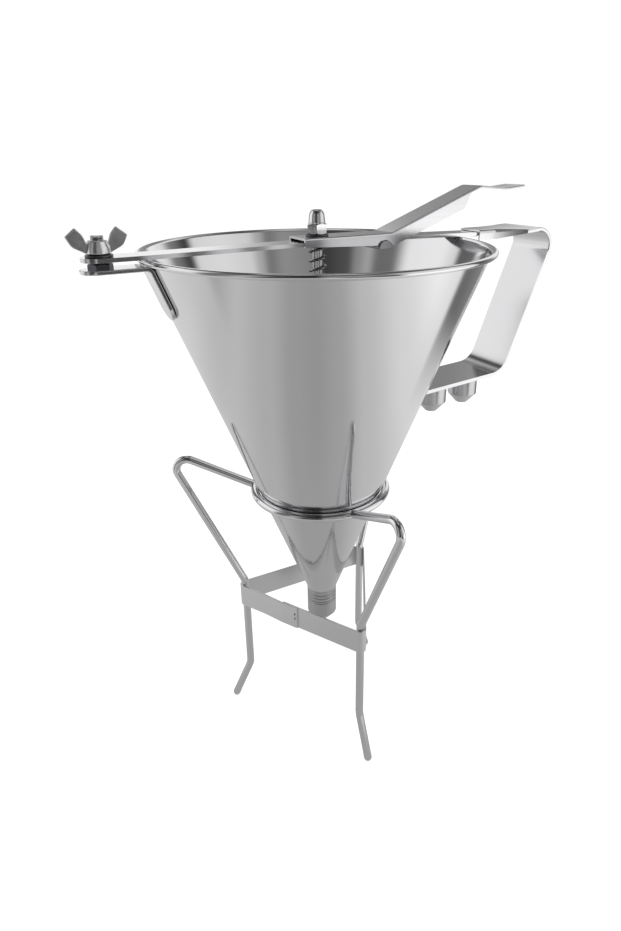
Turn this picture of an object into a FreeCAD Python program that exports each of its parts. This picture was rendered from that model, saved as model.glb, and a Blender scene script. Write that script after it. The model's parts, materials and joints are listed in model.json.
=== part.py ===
import FreeCAD, Part
import math
import os

# A hand-held batter dispenser standing in its wire stand: a steel funnel with a sprung valve rod,
# a lever across the mouth that lifts the rod, a strap handle and screw-on nozzle caps.
# Millimetres. +Z is up, +X points to the handle, Z = 0 is the table and the funnel's axis is X = Y = 0.

V = FreeCAD.Vector
UP = V(0, 0, 1)

# Clearances
SEAT_GAP = 0.2         # between the cone and the stand ring that carries it
FACE_GAP = 0.1         # between flat faces of pieces that move apart
RUN_GAP = 0.06         # radial gap of a shaft in its hole
HOLE_GAP = 0.3         # radial gap of a bolt in a loose hole
WELD_GAP = 0.03        # between a bent plate and the round wall it is welded to
HELD_GAP = 0.05        # round a wire or ring held in a roll or groove

# Funnel
RIM_OUTER_R = 95.0     # over the rolled bead
RIM_Z = 312.5          # height of the bead's centre
BEAD_R = 1.5
BEAD_WALL = 0.5
BEAD_OPEN = (190.0, 250.0)   # the roll's open stretch, in degrees about the bead's centre
BEAD_ROOT = 0.5        # metal between the roll and the cone's wall, above and below the bead's centre
CONE_LIP = 0.6         # how far the cone's wall stands above the bead's centre
CONE_WALL = 0.8
SPOUT_R = 9.5          # outside radius where the cone meets the ferrule
CONE_END_Z = 96.5

# Spout ferrule and nozzle caps
SHOULDER_Z = 86.8
SPIGOT_R = 7.8
SPIGOT_LENGTH = 8.0
SPOUT_BORE_R = 6.3
SEAT_FOOT_Z = 90.0
GROOVE_COUNT = 3
GROOVE_PITCH = 2.4
GROOVE_WIDTH = 0.8
GROOVE_DEPTH = 0.35
CAP_SKIRT = 9.9
CAP_TAPER = 6.3
CAP_TIP_R = 3.9
CAP_EDGE = 0.6
CAP_ROOF = 1.2
OUTLET_RS = (3.0, 2.0, 1.2)  # mounted cap, inner spare, outer spare

# Stand
WIRE_R = 2.5
RING_R = 40.3
LEG_ANGLES_DEG = (("stand_leg_left", 148.0), ("stand_leg_front", 268.0), ("stand_leg_back", 28.0))
ARM_REACH = 55.8       # from the ring out to the knee
ARM_RISE = 23.7
KNEE_BEND = 7.0
POST_R = 50.6
POST_CLEAR = 2.0       # of the upper bend above the band
POST_BEND = 12.0
FOOT_BEND_Z = 29.9
FOOT_BEND = 12.0
FOOT_R = 62.0
BAND_TOP_Z = 96.0
BAND_HEIGHT = 15.4
BAND_WALL = 1.0
LAP_END = 0.5          # where the lap ends, from the middle of the front side towards the front leg
LAP_LENGTH = 12.0
LAP_RAMP = 14.0        # length over which the outer end climbs onto the inner one

# Crossbar and fulcrum
BAR_WIDTH = 15.0
BAR_WALL = 2.0
BAR_RIM_GAP = 0.02
BAR_CROWN = 1.1        # rise from the rim to the fulcrum
BAR_LEFT_OUT = 8.5      # past the stud
BAR_RIGHT_IN = 11.0     # inside the hood
FULCRUM_X = 38.0
FULCRUM_R = 4.6
FULCRUM_FLAT = 0.25    # depth of the weld flat on the dome
FULCRUM_PROUD = 1.4    # how far each end stands past the lever

# Lever
LEVER_WIDTH = 18.0
LEVER_WALL = 1.2
LEVER_BAR_GAP = 0.6
LEVER_LEFT_X = -12.0
KNEE_X = 42.0
LEVER_KNEE_BEND = 6.0
TAB_BEND_X = 105.5
TAB_RISE = 23.5        # from the flat end up to the bend at the finger tab
TAB_BEND = 8.0
TAB_MID = (20.0, -1.7)       # from the tab's bend to its shallow dip, and to its end
TAB_END = (35.0, -0.2)
TAB_DIP_BEND = 40.0
SKIRT_LEFT = 4.6       # depth of the lever's side flanges
SKIRT_KNEE = 6.4
SKIRT_RISE = 7.0
SKIRT_END = 8.0        # where the flanges stop, short of the tab's bend
SKIRT_TAIL = 7.0       # length over which they run out
SLOT_LENGTH = 9.0
SLOT_SHIFT = -0.75
NOTCH_GAP = 0.15

# Valve
ROD_R = 3.0
ROD_NUT_DEPTH = 9.8    # thread taken up by the cap nut
PLUG_LIFT = 0.6        # the plug's wide part above the foot of the seat
PLUG_LENGTH = 4.2
PLUG_GAP = 0.16
PLUG_NOSE = 4.0
PLUG_NOSE_R = 2.5
PLUG_HEAD = 7.0
PLUG_HEAD_R = 4.4
SEAL_R = 0.8
SEAL_GAP = 0.1
COLLAR_R = 7.0
COLLAR_HEIGHT = 6.0
COLLAR_EDGE = 0.75
PIN_R = 1.2
SPRING_LENGTH = 63.0
SPRING_WIRE_R = 0.6
SPRING_OUTER_R = 4.95
SPRING_PITCH = 4.5
CAP_NUT_FLATS = 10.0
CAP_NUT_HEX = 5.4
CAP_NUT_HEIGHT = 12.4
CAP_NUT_DOME_R = 4.8
WASHER_R = 6.2
WASHER_WALL = 1.0

# Clamp at the left of the rim
LUG_WALL = 2.0
LUG_OUT = 9.4          # past the stud
LUG_TOP_GAP = 0.3      # below the rim bead
BRACKET_WIDTH = 15.0
BRACKET_DROP = 29.0    # from the bead's centre down to the bracket's end
BRACKET_BEND = 3.0
STUD_OUT = 17.9        # from the rim to the stud's axis
STUD_R = 3.0
STUD_PROUD = 1.9       # above the wing nut's hub
BASE_NUT_FLATS = 10.0
BASE_NUT_HEIGHT = 2.6
WING_HUB_R = 5.8
WING_HUB_TOP_R = 4.6
WING_HUB_HEIGHT = 6.2
WING_WALL = 2.2
WING_ROOT_X = 3.8
WING_INNER = ((4.6, 4.4), (6.2, 8.6), (8.9, 11.8))   # from the stud's axis and the hub's foot
WING_OUTER = ((13.6, 8.0), (11.2, 3.6), (5.3, 0.4))

# Handle
HANDLE_WIDTH = 32.0
HANDLE_WALL = 2.3
HANDLE_EDGE = 0.3      # softened edge where the hood runs out into the strap
HANDLE_START_OUT, HANDLE_START_UP = 45.0, 2.9    # from the rim outwards, and from the bead's centre up
HANDLE_TOP_OUT, HANDLE_TOP_UP = 71.6, 4.7
HANDLE_LOW_OUT, HANDLE_LOW_DOWN = 35.1, 86.2
HANDLE_FOOT_IN, HANDLE_FOOT_DOWN = 7.5, 90.2     # how far the arm's line runs into the cone
HANDLE_TOP_BEND = 10.5
HANDLE_LOW_BEND = 14.0
HOOD_OUT = 12.0        # from the rim to the hood's mouth
HOOD_END_GAP = 1.5     # past the crossbar's end
HOOD_WALL = 1.2
HOOD_EDGE = 2.2        # rounding along the hood's top corners at its mouth
HOOD_BAR_GAP = 0.3
HOOD_DROP = 4.6        # how far the hood's sides hang below the crossbar's top
SPARE_OUTS = (26.5, 52.5)    # from the cone outwards, level with the arm's foot
SPARE_GAP = 3.0        # between the handle's lower arm and a stored cap

BEAD_C = RIM_OUTER_R - BEAD_R
CONE_TOP_R = BEAD_C - BEAD_R
POST_TOP_Z = BAND_TOP_Z + POST_CLEAR
CONE_SLOPE = (CONE_TOP_R - SPOUT_R) / (RIM_Z - CONE_END_Z)
CONE_COS = 1.0 / math.hypot(1.0, CONE_SLOPE)
CONE_ACROSS = CONE_WALL / CONE_COS
APEX_Z = CONE_END_Z - SPOUT_R / CONE_SLOPE
STUD_X = -RIM_OUTER_R - STUD_OUT
LUG_TIP_X = STUD_X - LUG_OUT
BAR_LEFT_X = STUD_X - BAR_LEFT_OUT
HOOD_X = RIM_OUTER_R + HOOD_OUT
BAR_RIGHT_X = HOOD_X + BAR_RIGHT_IN
BRACKET_FOOT_Z = RIM_Z - BRACKET_DROP
BAR_SEAT_Z = RIM_Z + BEAD_R + BAR_RIM_GAP
LUG_Z = RIM_Z - BEAD_R - LUG_TOP_GAP - LUG_WALL / 2


def cone_r(z):
    """Outside radius of the cone at a height."""
    return (z - APEX_Z) * CONE_SLOPE


def bar_bottom(x):
    """Underside of the crossbar: level outside the rim on the left, with its crown at the fulcrum."""
    if x <= -BEAD_C:
        return BAR_SEAT_Z
    if x <= FULCRUM_X:
        return BAR_SEAT_Z + BAR_CROWN * (x + BEAD_C) / (FULCRUM_X + BEAD_C)
    return BAR_SEAT_Z + BAR_CROWN * (BEAD_C - x) / (BEAD_C - FULCRUM_X)


LEVER_TOP = bar_bottom(FULCRUM_X) + BAR_WALL + LEVER_BAR_GAP + LEVER_WALL
FULCRUM_Z = bar_bottom(FULCRUM_X) + FULCRUM_FLAT - FULCRUM_R
COLLAR_TOP = bar_bottom(0) - SPRING_LENGTH - 2 * FACE_GAP
WASHER_Z = LEVER_TOP + FACE_GAP
CAP_NUT_Z = WASHER_Z + WASHER_WALL
ROD_TOP = CAP_NUT_Z + ROD_NUT_DEPTH
WING_WASHER_Z = BAR_SEAT_Z + BAR_WALL + FACE_GAP
WING_Z = WING_WASHER_Z + WASHER_WALL + FACE_GAP
STUD_TOP_Z = WING_Z + WING_HUB_HEIGHT + STUD_PROUD
HANDLE_START = (RIM_OUTER_R + HANDLE_START_OUT, RIM_Z + HANDLE_START_UP)
HANDLE_TOP = (RIM_OUTER_R + HANDLE_TOP_OUT, RIM_Z + HANDLE_TOP_UP)
HANDLE_LOW = (RIM_OUTER_R + HANDLE_LOW_OUT, RIM_Z - HANDLE_LOW_DOWN)
HANDLE_FOOT_Z = RIM_Z - HANDLE_FOOT_DOWN
HANDLE_FOOT = (cone_r(HANDLE_FOOT_Z) - HANDLE_FOOT_IN, HANDLE_FOOT_Z)
SPARE_XS = [cone_r(HANDLE_FOOT_Z) + out for out in SPARE_OUTS]


def polygon(points):
    """Closed face through points given as vectors."""
    return Part.Face(Part.makePolygon(list(points) + [points[0]]))


def lathe(points):
    """Solid of revolution about Z from (radius, height) corners."""
    return polygon([V(r, 0, z) for r, z in points]).revolve(V(0, 0, 0), UP, 360)


def rod(r, z0, z1, x=0.0):
    """Upright cylinder between two heights."""
    return Part.makeCylinder(r, z1 - z0, V(x, 0, z0), UP)


def cross_rod(r, x, z, length):
    """Cylinder along Y, centred on Y = 0."""
    return Part.makeCylinder(r, length, V(x, -length / 2, z), V(0, 1, 0))


def box(x0, x1, half_width, z0, z1):
    """Box centred on Y = 0."""
    return Part.makeBox(x1 - x0, 2 * half_width, z1 - z0, V(x0, -half_width, z0))


def hexagon(flats, z0, z1, x=0.0):
    """Upright hexagonal prism measured across its flats."""
    r = flats / 2 / math.cos(math.pi / 6)
    turns = [math.radians(60 * k) for k in range(6)]
    return polygon([V(x + r * math.cos(a), r * math.sin(a), z0) for a in turns]).extrude(UP * (z1 - z0))


def side_plate(points, half_width):
    """Prism across Y with a side outline given as (x, z)."""
    face = polygon([V(x, -half_width, z) for x, z in points])
    return face.extrude(V(0, 2 * half_width, 0))


def unit(a, b):
    return (b - a).normalize()


def segment(a, b):
    return Part.LineSegment(a, b).toShape()


def arc(a, middle, b):
    return Part.Arc(a, middle, b).toShape()


def bends(points, radii):
    """Tangent arcs at a path's inner corners: start, middle, end and centre of each."""
    arcs = []
    for before, corner, after, r in zip(points, points[1:], points[2:], radii):
        back = unit(corner, before)
        ahead = unit(corner, after)
        half = back.getAngle(ahead) / 2
        reach = r / math.tan(half)
        centre = corner + unit(V(0, 0, 0), back + ahead) * (r / math.sin(half))
        middle = centre + unit(centre, corner) * r
        arcs.append((corner + back * reach, middle, corner + ahead * reach, centre))
    return arcs


def rail(points, arcs, side):
    """Edges of a bent path shifted sideways in the XZ plane, with its two ends."""
    def across(a, b):
        d = unit(a, b)
        return V(-d.z, 0, d.x)

    edges = []
    first = points[0] + across(points[0], points[1]) * side
    start = first
    for corner, (a, middle, b, centre) in zip(points[1:], arcs):
        outer = unit(centre, a).dot(across(a, corner)) > 0
        grow = side if outer else -side
        p, q, r = [c + unit(centre, c) * grow for c in (a, middle, b)]
        edges.append(segment(start, p))
        edges.append(arc(p, q, r))
        start = r
    last = points[-1] + across(points[-2], points[-1]) * side
    edges.append(segment(start, last))
    return edges, first, last


def strip(points, radii, wall, width):
    """Flat strip of even thickness, bent along an (x, z) path and centred on Y = 0."""
    path = [V(x, -width / 2, z) for x, z in points]
    arcs = bends(path, radii)
    top, top_first, top_last = rail(path, arcs, wall / 2)
    under, under_first, under_last = rail(path, arcs, -wall / 2)
    caps = [segment(top_first, under_first), segment(top_last, under_last)]
    outline = Part.Wire(Part.__sortEdges__(top + under + caps))
    return Part.Face(outline).extrude(V(0, width, 0))


def wire_rod(points, radii, r):
    """Round wire along a bent path."""
    edges = []
    start = points[0]
    for a, middle, b, _ in bends(points, radii):
        edges.append(segment(start, a))
        edges.append(arc(a, middle, b))
        start = b
    edges.append(segment(start, points[-1]))
    section = Part.Wire(Part.makeCircle(r, points[0], unit(points[0], points[1])))
    return Part.Wire(edges).makePipeShell([section], True, True)


def round_end(shape, centre, along, normal, r):
    """Trim a flat end to a half circle about a point, where the end points along a direction."""
    reach = 4 * r
    tool = Part.makeBox(reach, 2 * reach, 2 * reach, V(0, -reach, -reach))
    tool = tool.cut(Part.makeCylinder(r, 2 * reach, V(0, 0, -reach), UP))
    turn = FreeCAD.Rotation(along, normal.cross(along), normal, "ZXY")
    tool.Placement = FreeCAD.Placement(centre, turn)
    return shape.cut(tool)


def funnel_cone():
    """Cone of sheet with its edge rolled outwards around a wire."""
    top = RIM_Z + CONE_LIP
    wall = lathe([(SPOUT_R, CONE_END_Z), (cone_r(top), top), (cone_r(top) - CONE_ACROSS, top),
                  (SPOUT_R - CONE_ACROSS, CONE_END_Z)])
    low, high = RIM_Z - BEAD_ROOT, RIM_Z + BEAD_ROOT
    inside, outside = CONE_TOP_R - BEAD_ROOT, CONE_TOP_R + BEAD_WALL / 2
    root = lathe([(inside, low), (outside, low), (outside, high), (inside, high)])

    def arc_points(r):
        a0, a1 = math.radians(BEAD_OPEN[0]), math.radians(BEAD_OPEN[1] - 360)
        return [V(BEAD_C + r * math.cos(a), 0, RIM_Z + r * math.sin(a)) for a in (a0, (a0 + a1) / 2, a1)]

    outer = arc_points(BEAD_R)
    inner = arc_points(BEAD_R - BEAD_WALL)
    outline = Part.Wire([arc(*outer), segment(outer[2], inner[2]), arc(*reversed(inner)), segment(inner[0], outer[0])])
    bead = Part.Face(outline).revolve(V(0, 0, 0), UP, 360)
    return wall.fuse([root, bead]).removeSplitter()


def rim_wire():
    return Part.makeTorus(BEAD_C, BEAD_R - BEAD_WALL - HELD_GAP, V(0, 0, RIM_Z), UP)


def seat_r(z):
    """Radius of the conical valve seat inside the ferrule at a height."""
    top_r = SPOUT_R - CONE_ACROSS
    return SPOUT_BORE_R + (top_r - SPOUT_BORE_R) * (z - SEAT_FOOT_Z) / (CONE_END_Z - SEAT_FOOT_Z)


def spout_ferrule():
    """Turned ring under the cone: conical valve seat inside, grooves and a spigot outside."""
    foot = SHOULDER_Z - SPIGOT_LENGTH
    body = lathe([(SPOUT_BORE_R, foot), (SPIGOT_R, foot), (SPIGOT_R, SHOULDER_Z), (SPOUT_R, SHOULDER_Z),
                  (SPOUT_R, CONE_END_Z), (SPOUT_R - CONE_ACROSS, CONE_END_Z), (SPOUT_BORE_R, SEAT_FOOT_Z)])
    for k in range(GROOVE_COUNT):
        z = SHOULDER_Z + GROOVE_PITCH * (k + 0.5)
        groove = rod(2 * SPOUT_R, z, z + GROOVE_WIDTH).cut(rod(SPOUT_R - GROOVE_DEPTH, z, z + GROOVE_WIDTH))
        body = body.cut(groove)
    return body


def nozzle_cap(x, top, outlet_r):
    """Screw cap with a tapered tip and an outlet hole."""
    bore_r = SPIGOT_R + RUN_GAP
    roof = top - SPIGOT_LENGTH - 2 * FACE_GAP
    foot = top - CAP_SKIRT - CAP_TAPER
    body = lathe([(0, top), (SPOUT_R - CAP_EDGE, top), (SPOUT_R, top - CAP_EDGE), (SPOUT_R, top - CAP_SKIRT),
                  (CAP_TIP_R + CAP_EDGE, foot + CAP_EDGE), (CAP_TIP_R, foot), (0, foot)])
    hollow = lathe([(0, top), (bore_r, top), (bore_r, roof), (outlet_r, foot + 2 * CAP_ROOF),
                    (outlet_r, foot), (0, foot)])
    cap = body.cut(hollow)
    cap.translate(V(x, 0, 0))
    return cap


def ring_z():
    """Height at which the cone comes to rest on the ring."""
    return APEX_Z + (RING_R - (WIRE_R + SEAT_GAP) / CONE_COS) / CONE_SLOPE


def stand_ring():
    return Part.makeTorus(RING_R, WIRE_R, V(0, 0, ring_z()), UP)


def stand_leg(azimuth, ring):
    """One bent wire: arm from the ring, knee, sloping leg, post inside the band and splayed foot."""
    a = math.radians(azimuth)
    knee = RING_R + ARM_REACH, ring_z() + ARM_RISE
    profile = [(RING_R, ring_z()), knee, (POST_R, POST_TOP_Z), (POST_R, FOOT_BEND_Z), (FOOT_R, WIRE_R)]
    path = [V(r * math.cos(a), r * math.sin(a), z) for r, z in profile]
    leg = wire_rod(path, (KNEE_BEND, POST_BEND, FOOT_BEND), WIRE_R)
    return leg.fuse(Part.makeSphere(WIRE_R, path[-1])).cut(ring).removeSplitter()


def band_outline(r):
    """Rounded triangle at a distance from the three posts."""
    edges = []
    posts = [math.radians(a) for _, a in LEG_ANGLES_DEG]
    centres = [V(POST_R * math.cos(a), POST_R * math.sin(a), 0) for a in posts]
    step = math.radians(60)
    for i, a in enumerate(posts):
        ends = [centres[i] + V(math.cos(a + t), math.sin(a + t), 0) * r for t in (-step, 0, step)]
        edges.append(arc(*ends))
        b = posts[(i + 1) % 3]
        following = centres[(i + 1) % 3] + V(math.cos(b - step), math.sin(b - step), 0) * r
        edges.append(segment(ends[2], following))
    return Part.Face(Part.Wire(edges))


def stand_band():
    """Strip bent to a triangle around the posts, its two ends lapped on the front side."""
    inner_r = WIRE_R + WELD_GAP
    band = band_outline(inner_r + BAND_WALL).cut(band_outline(inner_r)).extrude(UP * BAND_HEIGHT)
    out = math.radians(LEG_ANGLES_DEG[0][1] + 60)
    apothem = POST_R / 2 + inner_r + BAND_WALL    # half of it, because the posts stand 120 degrees apart
    step = LAP_END - LAP_LENGTH
    corners = [(apothem, LAP_END), (apothem + BAND_WALL, LAP_END), (apothem + BAND_WALL, step),
               (apothem, step - LAP_RAMP)]
    lap = polygon([V(x, y, 0) for x, y in corners]).extrude(UP * BAND_HEIGHT)
    lap.rotate(V(0, 0, 0), UP, math.degrees(out))
    shape = band.fuse(lap).removeSplitter()
    shape.translate(V(0, 0, BAND_TOP_Z - BAND_HEIGHT))
    return shape


def crossbar():
    """Strip across the rim: clamped on the left, hooked under the handle's hood on the right."""
    xs = (BAR_LEFT_X, -BEAD_C, FULCRUM_X, BAR_RIGHT_X)
    under = [(x, bar_bottom(x)) for x in xs]
    over = [(x, z + BAR_WALL) for x, z in reversed(under)]
    bar = side_plate(under + over, BAR_WIDTH / 2)
    tip = V(BAR_LEFT_X + BAR_WIDTH / 2, 0, BAR_SEAT_Z)
    bar = round_end(bar, tip, V(-1, 0, 0), UP, BAR_WIDTH / 2)
    low, high = BAR_SEAT_Z - BAR_WALL, BAR_SEAT_Z + 3 * BAR_WALL
    return bar.cut([rod(ROD_R + RUN_GAP, low, high), rod(STUD_R + HOLE_GAP, low, high, STUD_X)])


def fulcrum_bar():
    """Half-round bar welded across the crossbar's underside, dome up."""
    length = LEVER_WIDTH + 2 * FULCRUM_PROUD
    dome = cross_rod(FULCRUM_R, FULCRUM_X, FULCRUM_Z, length)
    left, right = FULCRUM_X - length, FULCRUM_X + length
    below = box(left, right, length, FULCRUM_Z - length, FULCRUM_Z)
    weld = bar_bottom(FULCRUM_X)
    above = side_plate([(left, bar_bottom(left)), (FULCRUM_X, weld), (right, bar_bottom(right)),
                        (right, weld + length), (left, weld + length)], length)
    return dome.cut([below, above])


def press_lever():
    """Channel of thin sheet, open below: flat end, knee, rise and a plain finger tab."""
    mid = LEVER_TOP - LEVER_WALL / 2
    bend = (TAB_BEND_X, mid + TAB_RISE)
    path = [(LEVER_LEFT_X, mid), (KNEE_X, mid), bend]
    path += [(bend[0] + dx, bend[1] + dz) for dx, dz in (TAB_MID, TAB_END)]
    sheet = strip(path, (LEVER_KNEE_BEND, TAB_BEND, TAB_DIP_BEND), LEVER_WALL, LEVER_WIDTH)
    run = math.hypot(TAB_BEND_X - KNEE_X, TAB_RISE)
    dx, dz = (TAB_BEND_X - KNEE_X) / run, TAB_RISE / run
    full = SKIRT_END + SKIRT_TAIL
    skirt = [(LEVER_LEFT_X, mid), (LEVER_LEFT_X, LEVER_TOP - SKIRT_LEFT), (FULCRUM_X, LEVER_TOP - SKIRT_KNEE),
             (KNEE_X + SKIRT_RISE * dz, LEVER_TOP - SKIRT_RISE * dx),
             (bend[0] - full * dx + SKIRT_RISE * dz, bend[1] - full * dz - SKIRT_RISE * dx),
             (bend[0] - SKIRT_END * dx, bend[1] - SKIRT_END * dz), (KNEE_X, mid)]
    inside = LEVER_WIDTH / 2 - LEVER_WALL
    flanges = side_plate(skirt, LEVER_WIDTH / 2).cut(side_plate(skirt, inside))
    lever = sheet.fuse(flanges).removeSplitter()
    slot_r = ROD_R + HOLE_GAP
    low, high = LEVER_TOP - 2 * LEVER_WALL, LEVER_TOP + LEVER_WALL
    reach = SLOT_LENGTH / 2 - slot_r
    slot = box(SLOT_SHIFT - reach, SLOT_SHIFT + reach, slot_r, low, high)
    ends = [rod(slot_r, low, high, SLOT_SHIFT + side * reach) for side in (-1, 1)]
    notch = cross_rod(FULCRUM_R + NOTCH_GAP, FULCRUM_X, FULCRUM_Z, 2 * LEVER_WIDTH)
    return lever.cut([slot, notch] + ends)


def plug_band():
    return SEAT_FOOT_Z + PLUG_LIFT, SEAT_FOOT_Z + PLUG_LIFT + PLUG_LENGTH


def valve_rod():
    return rod(ROD_R, plug_band()[1], ROD_TOP).cut(pin_hole())


def valve_seal():
    z = sum(plug_band()) / 2
    return Part.makeTorus(seat_r(z) - SEAL_GAP - SEAL_R, SEAL_R, V(0, 0, z), UP)


def valve_plug():
    """Conical plug in the ferrule's seat, grooved for its seal and bored for the rod."""
    low, high = plug_band()
    body = lathe([(0, low - PLUG_NOSE), (PLUG_NOSE_R, low - PLUG_NOSE), (seat_r(low) - PLUG_GAP, low),
                  (seat_r(high) - PLUG_GAP, high), (PLUG_HEAD_R, high + PLUG_HEAD), (0, high + PLUG_HEAD)])
    z = (low + high) / 2
    groove = Part.makeTorus(seat_r(z) - SEAL_GAP - SEAL_R, SEAL_R + HELD_GAP, V(0, 0, z), UP)
    return body.cut([groove, rod(ROD_R, high, high + 2 * PLUG_HEAD)])


def pin_hole():
    return cross_rod(PIN_R, 0, COLLAR_TOP - COLLAR_HEIGHT / 2, 4 * COLLAR_R)


def spring_collar():
    low = COLLAR_TOP - COLLAR_HEIGHT
    flat_r = COLLAR_R - COLLAR_EDGE
    body = lathe([(ROD_R, low), (flat_r, low), (COLLAR_R, low + COLLAR_EDGE),
                  (COLLAR_R, COLLAR_TOP - COLLAR_EDGE), (flat_r, COLLAR_TOP), (ROD_R, COLLAR_TOP)])
    return body.cut(pin_hole())


def collar_pin():
    return cross_rod(PIN_R, 0, COLLAR_TOP - COLLAR_HEIGHT / 2, 2 * COLLAR_R + 2 * PIN_R)


def valve_spring():
    """Open coil from the collar up to the crossbar."""
    r = SPRING_OUTER_R - SPRING_WIRE_R
    low = COLLAR_TOP + FACE_GAP + SPRING_WIRE_R
    helix = Part.makeHelix(SPRING_PITCH, SPRING_LENGTH - 2 * SPRING_WIRE_R, r)
    tangent = V(0, 2 * math.pi * r, SPRING_PITCH)
    section = Part.Wire(Part.makeCircle(SPRING_WIRE_R, V(r, 0, 0), tangent))
    coil = Part.Wire(helix.Edges).makePipeShell([section], True, True)
    coil.translate(V(0, 0, low))
    return coil


def washer(z, x, bore_r):
    return rod(WASHER_R, z, z + WASHER_WALL, x).cut(rod(bore_r, z, z + WASHER_WALL, x))


def cap_nut():
    """Closed nut with a rounded dome on the rod's end."""
    top = CAP_NUT_Z + CAP_NUT_HEIGHT
    ball = top - CAP_NUT_DOME_R
    body = hexagon(CAP_NUT_FLATS, CAP_NUT_Z, CAP_NUT_Z + CAP_NUT_HEX)
    body = body.fuse([rod(CAP_NUT_DOME_R, CAP_NUT_Z, ball), Part.makeSphere(CAP_NUT_DOME_R, V(0, 0, ball))])
    return body.cut(rod(ROD_R, WASHER_Z, ROD_TOP)).removeSplitter()


def clamp_bracket():
    """Bent lug welded to the cone just under the rim, with rounded ends."""
    skin = (LUG_WALL / 2 + WELD_GAP) / CONE_COS

    def wall_x(z):
        return -(cone_r(z) + skin)

    path = [(LUG_TIP_X, LUG_Z), (wall_x(LUG_Z), LUG_Z), (wall_x(BRACKET_FOOT_Z), BRACKET_FOOT_Z)]
    plate = strip(path, (BRACKET_BEND,), LUG_WALL, BRACKET_WIDTH)
    r = BRACKET_WIDTH / 2
    plate = round_end(plate, V(LUG_TIP_X + r, 0, LUG_Z), V(-1, 0, 0), UP, r)
    down = V(CONE_SLOPE * CONE_COS, 0, -CONE_COS)
    foot = V(path[2][0], 0, path[2][1]) - down * r
    plate = round_end(plate, foot, down, V(CONE_COS, 0, CONE_SLOPE * CONE_COS), r)
    return plate.cut(rod(STUD_R, LUG_Z - LUG_WALL, LUG_Z + LUG_WALL, STUD_X))


def clamp_stud():
    return rod(STUD_R, LUG_Z - LUG_WALL / 2, STUD_TOP_Z, STUD_X)


def base_nut():
    low = LUG_Z + LUG_WALL / 2
    return hexagon(BASE_NUT_FLATS, low, low + BASE_NUT_HEIGHT, STUD_X).cut(
        rod(STUD_R, low, low + BASE_NUT_HEIGHT, STUD_X))


def wing_nut():
    """Round hub with two upswept wings."""
    def at(points):
        return [V(x, -WING_WALL / 2, z) for x, z in points]

    inner, outer = at(WING_INNER), at(WING_OUTER)
    root = at([(WING_ROOT_X, WING_OUTER[2][1]), (WING_ROOT_X, WING_INNER[0][1])])
    outline = Part.Wire([segment(root[0], root[1]), segment(root[1], inner[0]), arc(*inner),
                         segment(inner[2], outer[0]), arc(*outer), segment(outer[2], root[0])])
    wing = Part.Face(outline).extrude(V(0, WING_WALL, 0))
    other = wing.copy()
    other.rotate(V(0, 0, 0), UP, 180)
    hub = Part.makeCone(WING_HUB_R, WING_HUB_TOP_R, WING_HUB_HEIGHT)
    bore = rod(STUD_R + RUN_GAP, -WASHER_WALL, 2 * WING_HUB_HEIGHT)
    nut = hub.fuse([wing, other]).cut(bore).removeSplitter()
    nut.translate(V(STUD_X, 0, WING_Z))
    return nut


def section(x, half_width, z0, z1, edge):
    """Rectangle across X with its two top corners rounded, for a loft."""
    def corner(side):
        a = edge * (1 - math.sqrt(0.5))
        return [V(x, side * half_width, z1 - edge), V(x, side * (half_width - a), z1 - a),
                V(x, side * (half_width - edge), z1)]

    right, left = corner(1), corner(-1)
    feet = V(x, -half_width, z0), V(x, half_width, z0)
    return Part.Wire([segment(*feet), segment(feet[1], right[0]), arc(*right), segment(right[2], left[2]),
                      arc(*reversed(left)), segment(left[0], feet[0])])


def handle_hood():
    """Channel that the strap's inner end is pressed into, to hold the crossbar's end down."""
    bar_top = bar_bottom(HOOD_X) + BAR_WALL
    inside = BAR_WIDTH / 2 + HOOD_BAR_GAP
    outside = inside + HOOD_WALL
    roof = bar_top + HOOD_BAR_GAP
    low = bar_top - HOOD_DROP
    flat_end = BAR_RIGHT_X + HOOD_END_GAP
    x1, z1 = HANDLE_START
    under, over = z1 - HANDLE_WALL / 2, z1 + HANDLE_WALL / 2
    top = roof + HOOD_WALL
    edge = HOOD_EDGE - HOOD_WALL
    spread = HANDLE_WIDTH / 2
    outer = [section(HOOD_X, outside, low, top, HOOD_EDGE), section(flat_end, outside, low, top, HOOD_EDGE),
             section(x1, spread, under, over, HANDLE_EDGE)]
    below = low - HOOD_DROP
    inner = [section(HOOD_X, inside, below, roof, edge), section(flat_end, inside, below, roof, edge),
             section(x1 - HANDLE_WALL, spread - HOOD_WALL, below, under, HANDLE_EDGE)]
    return Part.makeLoft(outer, True, True).cut(Part.makeLoft(inner, True, True))


def handle_strap():
    """Flat strap from the hood, down past the fingers and back to the cone, cut to fit its curve."""
    points = [HANDLE_START, HANDLE_TOP, HANDLE_LOW, HANDLE_FOOT]
    strap = strip(points, (HANDLE_TOP_BEND, HANDLE_LOW_BEND), HANDLE_WALL, HANDLE_WIDTH)
    cone = lathe([(0, APEX_Z), (CONE_TOP_R, RIM_Z), (0, RIM_Z)])
    cone.translate(V(0, 0, -WELD_GAP / CONE_SLOPE))
    return strap.fuse(handle_hood()).cut(cone).removeSplitter()


def arm_underside(x):
    """Height of the handle's lower arm from below."""
    slope = (HANDLE_LOW[1] - HANDLE_FOOT[1]) / (HANDLE_LOW[0] - HANDLE_FOOT[0])
    return HANDLE_FOOT[1] + slope * (x - HANDLE_FOOT[0]) - HANDLE_WALL / 2 * math.hypot(1, slope)


def spare_boss(x, strap):
    """Threaded stub under the arm that a spare cap screws onto."""
    low = arm_underside(x) - SPARE_GAP - SPIGOT_LENGTH
    stub = rod(SPIGOT_R, low, arm_underside(x) + HANDLE_WALL, x).cut(strap)
    return max(stub.Solids, key=lambda solid: solid.Volume)


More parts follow.
